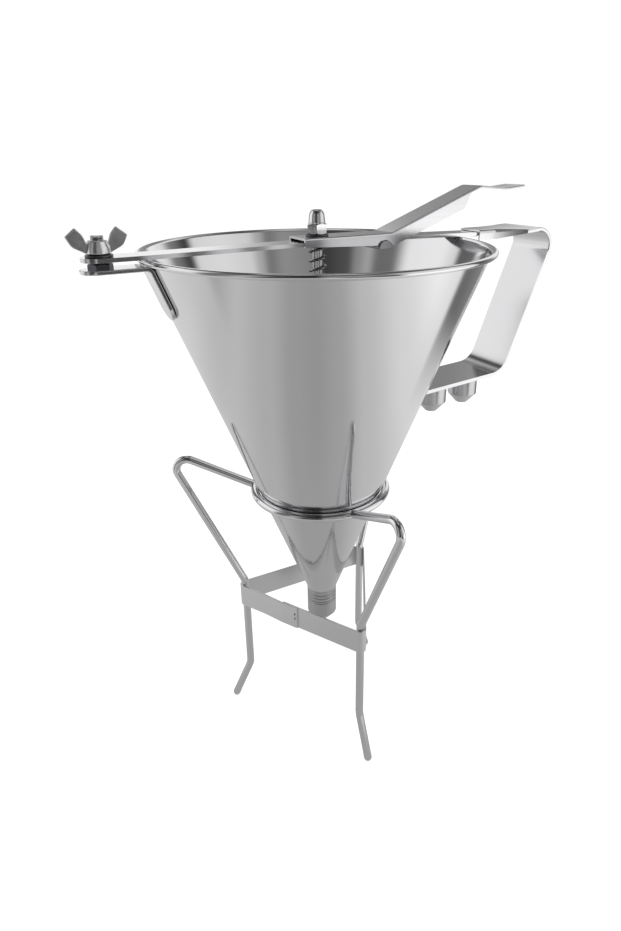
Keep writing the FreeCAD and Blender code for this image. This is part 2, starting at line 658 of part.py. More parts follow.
def build():
    ring = stand_ring()
    strap = handle_strap()
    parts = {"stand_ring": ring, "stand_band": stand_band()}
    for name, azimuth in LEG_ANGLES_DEG:
        parts[name] = stand_leg(azimuth, ring)
    parts["funnel_cone"] = funnel_cone()
    parts["rim_wire"] = rim_wire()
    parts["spout_ferrule"] = spout_ferrule()
    parts["nozzle_cap"] = nozzle_cap(0, SHOULDER_Z - FACE_GAP, OUTLET_RS[0])
    for name, x, outlet_r in zip(("inner", "outer"), SPARE_XS, OUTLET_RS[1:]):
        parts["spare_boss_" + name] = spare_boss(x, strap)
        parts["spare_cap_" + name] = nozzle_cap(x, arm_underside(x) - SPARE_GAP, outlet_r)
    parts["handle_strap"] = strap
    parts["crossbar"] = crossbar()
    parts["fulcrum_bar"] = fulcrum_bar()
    parts["press_lever"] = press_lever()
    parts["valve_rod"] = valve_rod()
    parts["valve_plug"] = valve_plug()
    parts["valve_seal"] = valve_seal()
    parts["spring_collar"] = spring_collar()
    parts["collar_pin"] = collar_pin()
    parts["valve_spring"] = valve_spring()
    parts["rod_washer"] = washer(WASHER_Z, 0, ROD_R)
    parts["cap_nut"] = cap_nut()
    parts["clamp_bracket"] = clamp_bracket()
    parts["clamp_stud"] = clamp_stud()
    parts["base_nut"] = base_nut()
    parts["wing_washer"] = washer(WING_WASHER_Z, STUD_X, STUD_R + RUN_GAP)
    parts["wing_nut"] = wing_nut()
    return parts


os.makedirs("parts", exist_ok=True)
for name, shape in build().items():
    solids = shape.Solids
    print("%-18s solids %d valid %s volume %.1f" % (name, len(solids), shape.isValid(), shape.Volume))
    (solids[0] if len(solids) == 1 else shape).exportStep("parts/%s.step" % name)
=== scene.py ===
import bmesh
import bpy
import json
import math
from mathutils import Matrix, Vector

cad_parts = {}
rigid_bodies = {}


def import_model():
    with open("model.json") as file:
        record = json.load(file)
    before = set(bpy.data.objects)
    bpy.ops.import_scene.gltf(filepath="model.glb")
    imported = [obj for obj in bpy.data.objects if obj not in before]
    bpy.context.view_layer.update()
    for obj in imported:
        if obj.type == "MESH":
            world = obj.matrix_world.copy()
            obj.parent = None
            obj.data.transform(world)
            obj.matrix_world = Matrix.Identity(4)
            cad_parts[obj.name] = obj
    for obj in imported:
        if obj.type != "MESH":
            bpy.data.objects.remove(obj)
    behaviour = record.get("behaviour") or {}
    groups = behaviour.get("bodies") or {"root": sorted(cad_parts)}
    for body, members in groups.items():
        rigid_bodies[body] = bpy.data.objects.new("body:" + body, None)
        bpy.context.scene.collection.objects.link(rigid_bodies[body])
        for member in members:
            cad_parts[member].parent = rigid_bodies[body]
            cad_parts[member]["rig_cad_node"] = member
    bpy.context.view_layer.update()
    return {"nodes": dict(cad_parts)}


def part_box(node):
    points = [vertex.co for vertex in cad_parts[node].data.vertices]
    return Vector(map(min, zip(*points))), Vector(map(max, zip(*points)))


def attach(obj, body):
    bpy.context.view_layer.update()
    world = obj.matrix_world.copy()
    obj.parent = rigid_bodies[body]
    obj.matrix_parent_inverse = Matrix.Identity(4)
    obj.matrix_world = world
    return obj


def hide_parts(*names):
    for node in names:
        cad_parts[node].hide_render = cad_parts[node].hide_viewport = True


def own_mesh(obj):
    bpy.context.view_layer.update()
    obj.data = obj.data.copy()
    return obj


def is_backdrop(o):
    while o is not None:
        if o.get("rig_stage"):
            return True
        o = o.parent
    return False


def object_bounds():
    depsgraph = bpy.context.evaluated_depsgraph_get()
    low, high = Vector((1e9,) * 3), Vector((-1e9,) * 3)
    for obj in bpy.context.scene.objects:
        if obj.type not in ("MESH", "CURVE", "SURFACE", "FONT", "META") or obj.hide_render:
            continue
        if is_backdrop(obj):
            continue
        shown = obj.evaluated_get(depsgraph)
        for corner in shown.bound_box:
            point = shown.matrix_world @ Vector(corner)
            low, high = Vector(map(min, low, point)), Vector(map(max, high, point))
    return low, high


# %% [markdown]
# # A batter dispenser in its wire stand
# The dispenser is a steel funnel that hangs in the ring of a stand bent from three wires. A lever across the
# mouth lifts a sprung rod, and the rod's plug opens the spout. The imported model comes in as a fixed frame,
# and each piece made below stands exactly where the frame has it.

# %% Load the frame
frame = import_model()
NODES = frame["nodes"]
MM = 0.001


# %% Heights of a node
def heights(node):
    """Lowest and highest Z of a frame node, in millimetres."""
    low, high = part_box(node)
    return low.z / MM, high.z / MM


print("cone from", [round(z, 1) for z in heights("funnel_cone")], "mm")

# %% [markdown]
# ## The camera
# A product photographer stands close with a wide lens, a little above the rim and in front of the clamp.
# The camera comes first, because every later choice is judged through it. Its place and lens were fitted to
# points of the rim, the ring, the band, the feet and the lever.

# %% Camera
EYE = (-0.17381, -0.31383, 0.35666)
AHEAD = Vector((0.4711, 0.7953, -0.3815)).normalized()
RIGHT = Vector((0.8600, -0.5102, -0.0017))
FILM_HEIGHT, FOCAL_LENGTH = 36, 25.096
SHIFT_X, SHIFT_Y = -0.02852, -0.04128
NEAREST, FARTHEST = 0.01, 50

lens = bpy.data.cameras.new("photo_camera")
lens.sensor_fit = "VERTICAL"
lens.sensor_height = FILM_HEIGHT
lens.lens = FOCAL_LENGTH
lens.shift_x = SHIFT_X
lens.shift_y = SHIFT_Y
lens.clip_start = NEAREST
lens.clip_end = FARTHEST
camera = bpy.data.objects.new("photo_camera", lens)
bpy.context.scene.collection.objects.link(camera)
right = (RIGHT - AHEAD * RIGHT.dot(AHEAD)).normalized()
upward = right.cross(AHEAD)
camera.matrix_world = Matrix.Translation(EYE) @ Matrix((right, upward, -AHEAD)).transposed().to_4x4()
bpy.context.scene.camera = camera
bpy.context.scene.view_settings.view_transform = "Standard"
print("camera at", [round(v, 3) for v in camera.location], "lens", lens.lens)

# %% [markdown]
# ## Working by hand
# Most pieces of the real object are turned, spun or bent, so most meshes here start as one point that is
# extruded along an outline. A primitive plane merged at its centre gives that first point. Corners of an
# outline carry their own radius, because even a sharp steel edge is broken a little and catches the light.

# %% Rounded outlines
CORNER_STEPS = 5


def rounded(corners, closed=True, steps=CORNER_STEPS):
    """Points of an outline whose corners (across, up, radius) are replaced by tangent arcs."""
    points = []
    for i, (across, up, radius) in enumerate(corners):
        here = Vector((across, up))
        if radius == 0 or (not closed and i in (0, len(corners) - 1)):
            points.append((across, up))
            continue
        back = (Vector(corners[i - 1][:2]) - here).normalized()
        ahead = (Vector(corners[(i + 1) % len(corners)][:2]) - here).normalized()
        half = back.angle(ahead) / 2
        centre = here + (back + ahead).normalized() * radius / math.sin(half)
        start = here + back * radius / math.tan(half) - centre
        sweep = math.copysign(math.pi - 2 * half, ahead.x * back.y - ahead.y * back.x)
        for k in range(steps + 1):
            turned = Matrix.Rotation(sweep * k / steps, 2) @ start
            points.append(tuple(centre + turned))
    return points


print("a rounded corner has", CORNER_STEPS + 1, "points")

# %% Hand tools
MERGE_GAP = 0.002


def deselect():
    """Leaves edit mode and lets go of every object."""
    if bpy.context.object and bpy.context.object.mode != "OBJECT":
        bpy.ops.object.mode_set(mode="OBJECT")
    bpy.ops.object.select_all(action="DESELECT")


def take_up(piece):
    """Selects one piece alone and makes it active."""
    deselect()
    piece.select_set(True)
    bpy.context.view_layer.objects.active = piece


def edit_all():
    """Goes into edit mode with everything selected."""
    bpy.ops.object.mode_set(mode="EDIT")
    bpy.ops.mesh.select_all(action="SELECT")


def start_point(name, point):
    """A mesh of one vertex at a point in millimetres, left in edit mode."""
    deselect()
    bpy.ops.mesh.primitive_plane_add(size=MM)
    piece = bpy.context.object
    piece.name = name
    bpy.ops.object.mode_set(mode="EDIT")
    bpy.ops.mesh.merge(type="CENTER")
    bpy.ops.transform.translate(value=[v * MM for v in point])
    return piece


def trace(points):
    """Extrudes the selected vertex through a row of points in millimetres."""
    for before, after in zip(points, points[1:]):
        step = [(b - a) * MM for a, b in zip(before, after)]
        bpy.ops.mesh.extrude_vertices_move(TRANSFORM_OT_translate={"value": step})


def merge_doubles(gap=MERGE_GAP):
    """Selects everything and merges points closer than a gap in millimetres, in edit mode."""
    bpy.ops.mesh.select_all(action="SELECT")
    bpy.ops.mesh.remove_doubles(threshold=gap * MM)


def close_up(gap=MERGE_GAP):
    """Merges doubles and turns every face outwards, in edit mode."""
    merge_doubles(gap)
    bpy.ops.mesh.normals_make_consistent(inside=False)


print("hand tools ready, doubles merge within", MERGE_GAP, "mm")

# %% Finishing tools
SMOOTH_BELOW = 35


def smooth(piece, degrees=SMOOTH_BELOW):
    """Smooth shading up to an angle, with wide faces setting the normals so that flats stay flat."""
    take_up(piece)
    bpy.ops.object.shade_smooth_by_angle(angle=math.radians(degrees))
    even = piece.modifiers.new("even", "WEIGHTED_NORMAL")
    even.keep_sharp = True
    bpy.ops.object.modifier_apply(modifier="even")


def break_edges(piece, width, segments, degrees):
    """Bevels the edges that are sharper than an angle."""
    broken = piece.modifiers.new("broken", "BEVEL")
    broken.width = width * MM
    broken.segments = segments
    broken.limit_method = "ANGLE"
    broken.angle_limit = math.radians(degrees)
    bpy.ops.object.modifier_apply(modifier="broken")


def joined(pieces):
    """Joins pieces into the first of them."""
    deselect()
    for piece in pieces:
        piece.select_set(True)
    bpy.context.view_layer.objects.active = pieces[0]
    bpy.ops.object.join()
    return pieces[0]


def spun(name, corners, steps=96, x=0.0, rounding=True):
    """Turns a closed outline of (radius, height, corner radius) round an upright axis."""
    outline = rounded(corners) if rounding else corners
    path = [(r, 0, z) for r, z in outline]
    piece = start_point(name, path[0])
    trace(path + path[:1])
    merge_doubles()
    bpy.ops.mesh.spin(steps=steps, angle=2 * math.pi, center=(0, 0, 0), axis=(0, 0, 1))
    close_up()
    bpy.ops.transform.translate(value=(x * MM, 0, 0))
    smooth(piece)
    return piece


print("finishing tools ready")

# %% [markdown]
# ## Steel finishes
# The dispenser is one alloy in several finishes. The sheet of the cone is polished, the strips keep a soft
# grain along their length, the turned pieces keep fine rings, and the lower nut and the washers are duller
# and painted nearly black as painted shade. Each finish is a metallic Principled shader whose roughness and
# surface come from noise that is drawn out along the way the steel was worked.

# %% The way a surface was worked
def along_stretch(nodes, links, place, stretch):
    """Object coordinates drawn out along one direction."""
    drawn = nodes.new("ShaderNodeMapping")
    drawn.inputs["Scale"].default_value = stretch
    links.new(place, drawn.inputs["Vector"])
    return drawn.outputs["Vector"]


def round_axis(nodes, links, place, axis_x):
    """Reach from an upright axis and height, so that noise falls into rings."""
    moved = nodes.new("ShaderNodeMapping")
    moved.inputs["Location"].default_value = (-axis_x * MM, 0, 0)
    links.new(place, moved.inputs["Vector"])
    flat = nodes.new("ShaderNodeVectorMath")
    flat.operation = "MULTIPLY"
    flat.inputs[1].default_value = (1, 1, 0)
    links.new(moved.outputs["Vector"], flat.inputs[0])
    reach = nodes.new("ShaderNodeVectorMath")
    reach.operation = "LENGTH"
    links.new(flat.outputs["Vector"], reach.inputs[0])
    height = nodes.new("ShaderNodeSeparateXYZ")
    links.new(moved.outputs["Vector"], height.inputs["Vector"])
    rings = nodes.new("ShaderNodeCombineXYZ")
    links.new(reach.outputs["Value"], rings.inputs["X"])
    links.new(height.outputs["Z"], rings.inputs["Z"])
    return rings.outputs["Vector"]


def noise(nodes, links, vector, scale, detail):
    """The level of a noise texture at a vector."""
    grain = nodes.new("ShaderNodeTexNoise")
    grain.inputs["Scale"].default_value = scale
    grain.inputs["Detail"].default_value = detail
    links.new(vector, grain.inputs["Vector"])
    return grain.outputs["Fac"]


print("surfaces are drawn out along a strip or round an axis")

# %% Finish helper
RING_SCALE, DRAWN_SCALE, FINE_DETAIL = 2600.0, 1.0, 3.0
CLOUD_SCALE, CLOUD_DETAIL, CLOUD_SHARE = 28.0, 4.0, 0.04
TINT_SPREAD = 0.03
RELIEF_DEPTH = 0.01


def steel(name, colour, rough, bump, stretch=None, axis_x=None):
    """Metal with fine lines along a stretch, or rings round an upright axis at axis_x, and soft clouding."""
    finish = bpy.data.materials.new(name)
    finish.use_nodes = True
    nodes, links = finish.node_tree.nodes, finish.node_tree.links
    shader = nodes["Principled BSDF"]
    shader.inputs["Metallic"].default_value = 1.0
    place = nodes.new("ShaderNodeTexCoord").outputs["Object"]
    if axis_x is None:
        drawn = along_stretch(nodes, links, place, stretch)
        fine = noise(nodes, links, drawn, DRAWN_SCALE, FINE_DETAIL)
    else:
        rings = round_axis(nodes, links, place, axis_x)
        fine = noise(nodes, links, rings, RING_SCALE, FINE_DETAIL)
    broad = noise(nodes, links, place, CLOUD_SCALE, CLOUD_DETAIL)

    spread = nodes.new("ShaderNodeMapRange")
    spread.inputs["To Min"].default_value = rough[0]
    spread.inputs["To Max"].default_value = rough[1]
    links.new(fine, spread.inputs["Value"])
    cloudy = nodes.new("ShaderNodeMath")
    cloudy.operation = "MULTIPLY_ADD"
    cloudy.inputs[1].default_value = CLOUD_SHARE
    links.new(broad, cloudy.inputs[0])
    links.new(spread.outputs["Result"], cloudy.inputs[2])
    links.new(cloudy.outputs["Value"], shader.inputs["Roughness"])

    tint = nodes.new("ShaderNodeMapRange")
    tint.data_type = "FLOAT_VECTOR"
    sockets = {socket.identifier: socket for socket in tint.inputs}
    sockets["To_Min_FLOAT3"].default_value = [c * (1 - TINT_SPREAD) for c in colour]
    sockets["To_Max_FLOAT3"].default_value = [c * (1 + TINT_SPREAD) for c in colour]
    links.new(broad, tint.inputs["Vector"])
    links.new(tint.outputs["Vector"], shader.inputs["Base Color"])

    relief = nodes.new("ShaderNodeBump")
    relief.inputs["Strength"].default_value = bump
    relief.inputs["Distance"].default_value = RELIEF_DEPTH * MM
    links.new(fine, relief.inputs["Height"])
    links.new(relief.outputs["Normal"], shader.inputs["Normal"])
    print("finish", name)
    return finish


# %% Finishes
ROUND_ABOUT = (900, 900, 900)
ALONG_X = (25, 2400, 2400)
ALONG_BAND = (300, 300, 2400)
CAST_GRAIN = (400, 400, 400)
sheet_finish = steel("polished_sheet", (0.78, 0.78, 0.79), (0.05, 0.12), 0.15, axis_x=0.0)
wire_finish = steel("polished_wire", (0.80, 0.80, 0.81), (0.05, 0.12), 0.1, stretch=ROUND_ABOUT)
strip_finish = steel("grained_strip", (0.77, 0.77, 0.78), (0.12, 0.24), 0.2, stretch=ALONG_X)
satin_finish = steel("satin_band", (0.84, 0.84, 0.85), (0.25, 0.38), 0.2, stretch=ALONG_BAND)
turned_finish = steel("turned_rings", (0.58, 0.58, 0.59), (0.16, 0.30), 0.25, axis_x=0.0)
# Painted shade: the lower nut and the washers are painted nearly black for the dark they mirror; the weld
# spots take the same dark steel.
painted_shade_steel = steel("steel_painted_shade", (0.12, 0.12, 0.13), (0.22, 0.36), 0.2, stretch=ROUND_ABOUT)
cast_finish = steel("polished_casting", (0.84, 0.84, 0.85), (0.16, 0.28), 0.5, stretch=CAST_GRAIN)
# A darker steel for the spring; on the fulcrum bar the same dark is painted shade.
spring_steel_and_painted_shade = steel("drawn_spring_and_painted_shade", (0.34, 0.34, 0.35), (0.15, 0.28), 0.2, stretch=ROUND_ABOUT)


# %% Fitting a piece
def fit(piece, body, nodes, finish):
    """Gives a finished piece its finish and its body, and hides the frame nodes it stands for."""
    piece.data.materials.clear()
    piece.data.materials.append(finish)
    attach(piece, body)
    if nodes:
        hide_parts(*nodes)
    print(piece.name, "has", len(piece.data.polygons), "faces and rides on", body)
    return piece


# %% [markdown]
# ## The cone and its rolled rim
# The cone is one sheet whose top edge is rolled outwards round a wire. A cone primitive would have no roll
# and no wall, so the whole section of the sheet is traced and spun.

# %% Cone
RIM_Z, BEAD_C, BEAD_R, SHEET = 312.5, 93.5, 1.5, 0.5
SPOUT_R, SPOUT_BORE, SPOUT_Z = 9.5, 8.644, 96.5
ROLL_FROM, ROLL_TO, ROLL_BACK, ROLL_STEPS = 185, -110, 140, 18
SKIN_TOP = (91.85, 312.1)
LIP = [(91.6, 313.05), (91.2, 312.5)]
CONE_STEPS = 192


def around_bead(radius, first, last):
    """Points of the roll at a radius round the bead's middle, between two angles in degrees."""
    turns = [math.radians(first + (last - first) * k / ROLL_STEPS) for k in range(ROLL_STEPS + 1)]
    return [(BEAD_C + radius * math.cos(a), RIM_Z + radius * math.sin(a)) for a in turns]


section = [(SPOUT_R, SPOUT_Z), SKIN_TOP]
section += around_bead(BEAD_R - SHEET, ROLL_FROM, ROLL_TO)
section += around_bead(BEAD_R, ROLL_TO, ROLL_BACK)
section += LIP + [(SPOUT_BORE, SPOUT_Z)]
cone = spun("cone", section, steps=CONE_STEPS, rounding=False)
fit(cone, "funnel", ["funnel_cone"], sheet_finish)

# %% [markdown]
# ## The spout and its nozzle caps
# Under the cone sits a turned ferrule with a seat for the plug, fine grooves and a spigot that the caps fit.
# The caps are turned too: a straight skirt, a taper and a small outlet. Only the outlet differs.

# %% Ferrule
SHOULDER_Z, SPIGOT_R, SPIGOT_FOOT, BORE_R, SEAT_Z = 86.8, 7.8, 78.8, 6.3, 90.0
GROOVES, GROOVE_PITCH, GROOVE_WIDTH, GROOVE_DEPTH = 3, 2.4, 0.8, 0.35
groove_r = SPOUT_R - GROOVE_DEPTH
outline = [(BORE_R, SPIGOT_FOOT, 0.2), (SPIGOT_R, SPIGOT_FOOT, 0.4)]
outline += [(SPIGOT_R, SHOULDER_Z, 0.1), (SPOUT_R, SHOULDER_Z, 0.3)]
for k in range(GROOVES):
    low = SHOULDER_Z + GROOVE_PITCH * (k + 0.5)
    high = low + GROOVE_WIDTH
    outline += [(SPOUT_R, low, 0.12), (groove_r, low, 0.1), (groove_r, high, 0.1), (SPOUT_R, high, 0.12)]
outline += [(SPOUT_R, SPOUT_Z, 0.1), (SPOUT_BORE, SPOUT_Z, 0), (BORE_R, SEAT_Z, 0.3)]
ferrule = spun("ferrule", outline)
fit(ferrule, "funnel", ["spout_ferrule"], turned_finish)


# %% Rings about a cap's own axis
def rings_at(x, name):
    """A copy of the turned finish whose rings run round an axis at x."""
    finish = turned_finish.copy()
    finish.name = "turned_rings_" + name
    for step in finish.node_tree.nodes:
        if step.type == "MAPPING":
            step.inputs["Location"].default_value = (-x * MM, 0, 0)
    return finish


# %% Nozzle caps
CAP_ROOF, CAP_SKIRT, CAP_LENGTH = 8.2, 9.9, 16.2
CAP_TIP_R, CAP_FLOOR, CAP_PLAY = 3.9, 2.4, 0.06
OUTLET, SPARE_OUTLETS = 3.0, (("inner", 2.0), ("outer", 1.2))


def nozzle_cap(name, x, top, outlet, body, node):
    """A turned cap that hangs from its top edge, round an upright axis at x."""
    bore, roof, foot = SPIGOT_R + CAP_PLAY, top - CAP_ROOF, top - CAP_LENGTH
    edges = [(bore, top, 0.15), (SPOUT_R, top, 0.5), (SPOUT_R, top - CAP_SKIRT, 1.2), (CAP_TIP_R, foot, 0.7)]
    edges += [(outlet, foot, 0.15), (outlet, foot + CAP_FLOOR, 0.1), (bore, roof, 0.4)]
    cap = spun(name, edges, x=x)
    return fit(cap, body, [node], rings_at(x, name) if x else turned_finish)


nozzle_cap("nozzle", 0.0, heights("nozzle_cap")[1], OUTLET, "nozzle", "nozzle_cap")
for place, outlet in SPARE_OUTLETS:
    low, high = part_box("spare_cap_" + place)
    middle_x = (low.x + high.x) / 2 / MM
    nozzle_cap("spare_nozzle_" + place, middle_x, high.z / MM, outlet, "spare_" + place, "spare_cap_" + place)

# %% [markdown]
# ## Bending the stand's wires
# Each leg is one wire: from the ring out to the knee, down and in to the band, straight through it and out
# to its foot. A mesh path turned into a curve with a round bevel gives an even wire, and a radius that runs
# out at the last points gives the rounded tip.

# %% Wire helper
WIRE_R = 2.5
TIP_STEPS, TIP_LEAST = 6, 0.02
WIRE_MERGE_GAP, WIRE_SMOOTH = 0.001, 60
START_REACH = 0.1


def round_tip(path, shrink, radius):
    """Adds the points of a rounded end, each with its share of the wire's radius."""
    end, before = path[-1], path[-2]
    along = (end - before).normalized()
    for k in range(1, TIP_STEPS + 1):
        a = math.pi / 2 * k / TIP_STEPS
        path.append(end + along * radius * math.sin(a))
        shrink.append(max(math.cos(a), TIP_LEAST))


def wire(name, path, radius, tip=False, closed=False, segments=6):
    """Round wire along a path in millimetres, its far end rounded off if asked."""
    path = [Vector(p) for p in path]
    shrink = [1.0] * len(path)
    if tip:
        round_tip(path, shrink, radius)
    start_point(name, path[0])
    trace(path + path[:1] if closed else path)
    if closed:
        close_up()
    bpy.ops.object.mode_set(mode="OBJECT")
    bpy.ops.object.convert(target="CURVE")
    line = bpy.context.object
    line.data.bevel_depth = radius * MM
    line.data.bevel_resolution = segments
    line.data.use_fill_caps = not closed
    points = line.data.splines[0].points
    starts_first = (Vector(points[0].co[:3]) / MM - path[0]).length < START_REACH
    for point, share in zip(points if starts_first else reversed(points), shrink):
        point.radius = share
    bpy.ops.object.convert(target="MESH")
    piece = bpy.context.object
    piece.name = name
    bpy.ops.object.mode_set(mode="EDIT")
    close_up(WIRE_MERGE_GAP)
    smooth(piece, WIRE_SMOOTH)
    return piece


# %% Legs
RING_R = 40.3
RING_Z = sum(heights("stand_ring")) / 2
KNEE_R, KNEE_RISE, KNEE_BEND = 96.1, 23.7, 7.0
POST_R, POST_TOP, POST_BEND = 50.6, 98.0, 12.0
FOOT_R, FOOT_BEND_Z = 62.0, 29.9
LEGS = (("left", 148.0), ("front", 268.0), ("back", 28.0))
LEG_BEND_STEPS, STAND_SEGMENTS = 12, 8
bent = [(RING_R, RING_Z, 0), (KNEE_R, RING_Z + KNEE_RISE, KNEE_BEND), (POST_R, POST_TOP, POST_BEND)]
bent += [(POST_R, FOOT_BEND_Z, POST_BEND), (FOOT_R, WIRE_R, 0)]
side = rounded(bent, closed=False, steps=LEG_BEND_STEPS)
for place, degrees in LEGS:
    a = math.radians(degrees)
    path = [(r * math.cos(a), r * math.sin(a), z) for r, z in side]
    leg = wire("leg_" + place, path, WIRE_R, tip=True, segments=STAND_SEGMENTS)
    fit(leg, "stand", ["stand_leg_" + place], wire_finish)

# %% Ring
RING_STEPS = 144
turns = [2 * math.pi * k / RING_STEPS for k in range(RING_STEPS)]
path = [(RING_R * math.cos(a), RING_R * math.sin(a), RING_Z) for a in turns]
ring = wire("ring", path, WIRE_R, closed=True, segments=STAND_SEGMENTS)
fit(ring, "stand", ["stand_ring"], wire_finish)

# %% [markdown]
# ## The band
# A strip is bent round the three posts to a triangle with rounded corners, and its outer end is lapped over
# the inner one on the front side. The strip's middle line is traced on the ground, extruded up to its height
# and given its wall by Solidify.

# %% The band's line
BAND_TOP, BAND_HEIGHT, BAND_WALL = 96.0, 15.4, 1.0
POST_GAP = 0.03
LAP_END, LAP_LENGTH, LAP_RAMP, RAMP_BEND, LAP_SHORT = 0.5, 12.0, 14.0, 8.0, 0.4
BAND_BEND_STEPS = 10
middle_r = WIRE_R + POST_GAP + BAND_WALL / 2
apothem = POST_R / 2 + middle_r
lapped = apothem + BAND_WALL
front_side = math.radians((LEGS[0][1] + LEGS[1][1]) / 2)
lap_start = LAP_END - LAP_LENGTH


def on_front(out, along):
    """A point seen from above, at a reach from the axis and a place along the front side."""
    return (out * math.cos(front_side) - along * math.sin(front_side),
            out * math.sin(front_side) + along * math.cos(front_side))


def at_post(degrees):
    """The corner where two flat sides would meet outside a post, with the bend's radius."""
    a = math.radians(degrees)
    return 2 * apothem * math.cos(a), 2 * apothem * math.sin(a), middle_r


band_line = [(*on_front(apothem, lap_start + LAP_SHORT), 0)]
band_line += [at_post(degrees) for degrees in (LEGS[1][1], LEGS[2][1], LEGS[0][1])]
band_line += [(*on_front(apothem, lap_start - LAP_RAMP), RAMP_BEND)]
band_line += [(*on_front(lapped, lap_start), RAMP_BEND), (*on_front(lapped, LAP_END), 0)]
print("the band's flat sides stand", round(apothem, 2), "mm from the axis")

# %% Band
flat = rounded(band_line, closed=False, steps=BAND_BEND_STEPS)
band = start_point("band", (*flat[0], BAND_TOP - BAND_HEIGHT))
trace([(x, y, 0) for x, y in flat])
bpy.ops.mesh.select_all(action="SELECT")
bpy.ops.mesh.extrude_edges_move(TRANSFORM_OT_translate={"value": (0, 0, BAND_HEIGHT * MM)})
bpy.ops.object.mode_set(mode="OBJECT")
walls = band.modifiers.new("walls", "SOLIDIFY")
walls.thickness = BAND_WALL * MM
walls.offset = 0
walls.use_even_offset = True
bpy.ops.object.modifier_apply(modifier="walls")
break_edges(band, width=0.15, segments=2, degrees=50)
bpy.ops.object.mode_set(mode="EDIT")
close_up()
smooth(band, degrees=40)
fit(band, "stand", ["stand_band"], satin_finish)

# %% [markdown]
# ## The weld spots
# Two small spot welds hold the lap of the band. They are barely proud of the steel, so each is a flat nugget
# that is spun, tipped against the band and joined with the other.

# %% Weld spots
SPOT_R, SPOT_PROUD = 0.95, 0.12
SPOT_FLAT = SPOT_R * 0.7
SPOTS = ((-1.6, 90.7), (-1.6, 87.3))
SPOT_SIDE = [(0, 0, 0), (SPOT_R, 0, 0), (SPOT_FLAT, SPOT_PROUD, 0.05), (0, SPOT_PROUD, 0)]
nuggets = []
for along, up in SPOTS:
    nugget = spun("weld_spots", SPOT_SIDE, steps=16)
    edit_all()
    bpy.ops.transform.rotate(value=math.pi / 2, orient_axis="Y", center_override=(0, 0, 0))
    bpy.ops.transform.rotate(value=front_side, orient_axis="Z", center_override=(0, 0, 0))
    bpy.ops.mesh.normals_make_consistent(inside=False)
    x, y = on_front(lapped + BAND_WALL / 2, along)
    bpy.ops.transform.translate(value=(x * MM, y * MM, up * MM))
    bpy.ops.object.mode_set(mode="OBJECT")
    nuggets.append(nugget)
fit(joined(nuggets), "stand", [], painted_shade_steel)

# %% [markdown]
# ## Strip and sheet pieces
# The crossbar, the lever, the handle, the bracket, the fulcrum bar and the stubs have their exact shape in
# the frame. A copy of each is merged into one surface, its edges are broken with a narrow bevel, and it is
# smoothed. The lever and the handle are folded strips, so their long edges get a wider, rounder bevel first.

# %% Fold edges
FOLD_SEGMENTS = 4
SIDE_FACING, BROAD_FACING, TOP_FACING = 0.9, 0.3, 0.5


def round_folds(piece, fold, top_only, folds_from):
    """Bevels the edges between a side face and a broad face, in edit mode."""
    bpy.ops.mesh.select_mode(type="EDGE")
    bpy.ops.mesh.select_all(action="DESELECT")
    sheet = bmesh.from_edit_mesh(piece.data)
    for line in sheet.edges:
        normals = [face.normal for face in line.link_faces]
        sideways = [abs(normal.y) for normal in normals]
        at_side = line.is_convex and max(sideways) > SIDE_FACING and min(sideways) < BROAD_FACING
        on_top = max(normal.z for normal in normals) > TOP_FACING or not top_only
        past = min(corner.co.x for corner in line.verts) > folds_from * MM
        line.select = at_side and on_top and past
    bmesh.update_edit_mesh(piece.data)
    bpy.ops.mesh.bevel(offset=fold * MM, segments=FOLD_SEGMENTS, affect="EDGES")
    bpy.ops.mesh.select_mode(type="VERT")


print("folds are rounded in", FOLD_SEGMENTS, "steps")

# %% Soft-edged copies
COPY_MERGE_GAP, FLAT_WITHIN = 0.001, 0.4
EDGE_SEGMENTS, EDGE_ABOVE, COPY_SMOOTH = 3, 28, 30


def softened(name, node, body, finish, edge, fold=0.0, top_only=False, folds_from=-math.inf):
    """A copy of a frame node with broken edges, and rounded folds beyond an X in millimetres."""
    take_up(NODES[node])
    bpy.ops.object.duplicate()
    piece = bpy.context.object
    piece.name = name
    del piece["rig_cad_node"]
    edit_all()
    bpy.ops.mesh.remove_doubles(threshold=COPY_MERGE_GAP * MM)
    bpy.ops.mesh.dissolve_limited(angle_limit=math.radians(FLAT_WITHIN))
    bpy.ops.mesh.normals_make_consistent(inside=False)
    if fold:
        round_folds(piece, fold, top_only, folds_from)
    bpy.ops.object.mode_set(mode="OBJECT")
    break_edges(piece, edge, EDGE_SEGMENTS, EDGE_ABOVE)
    smooth(piece, COPY_SMOOTH)
    return fit(piece, body, [node], finish)


# %% Bar, lever, handle and bracket
HOOD_FOOT_X = 141.0
STRIP_EDGE, FINE_EDGE, LEVER_EDGE = 0.8, 0.2, 0.25
softened("bar", "crossbar", "funnel", strip_finish, STRIP_EDGE)
softened("lever", "press_lever", "lever", strip_finish, LEVER_EDGE, fold=1.0, top_only=True)
softened("handle", "handle_strap", "funnel", strip_finish, FINE_EDGE, fold=0.7,
         folds_from=HOOD_FOOT_X)
softened("bracket", "clamp_bracket", "funnel", strip_finish, STRIP_EDGE)
# Painted shade: the fulcrum bar's end sits in shadow under the lever, so it takes the darker spring steel.
softened("fulcrum", "fulcrum_bar", "funnel", spring_steel_and_painted_shade, FINE_EDGE)
softened("stub_inner", "spare_boss_inner", "funnel", strip_finish, FINE_EDGE)
softened("stub_outer", "spare_boss_outer", "funnel", strip_finish, FINE_EDGE)

# %% [markdown]
# ## The valve
# A long rod has the plug at its foot and a collar with a cross pin for the spring. A washer and a domed nut
# close it above the lever. They are turned pieces, so they are spun from their outlines.

# %% Rod
ROD_R = 3.0
low, high = heights("valve_rod")
rod = spun("rod", [(0, low, 0), (ROD_R, low, 0.3), (ROD_R, high, 0.6), (0, high, 0)], steps=48)
fit(rod, "valve", ["valve_rod"], turned_finish)

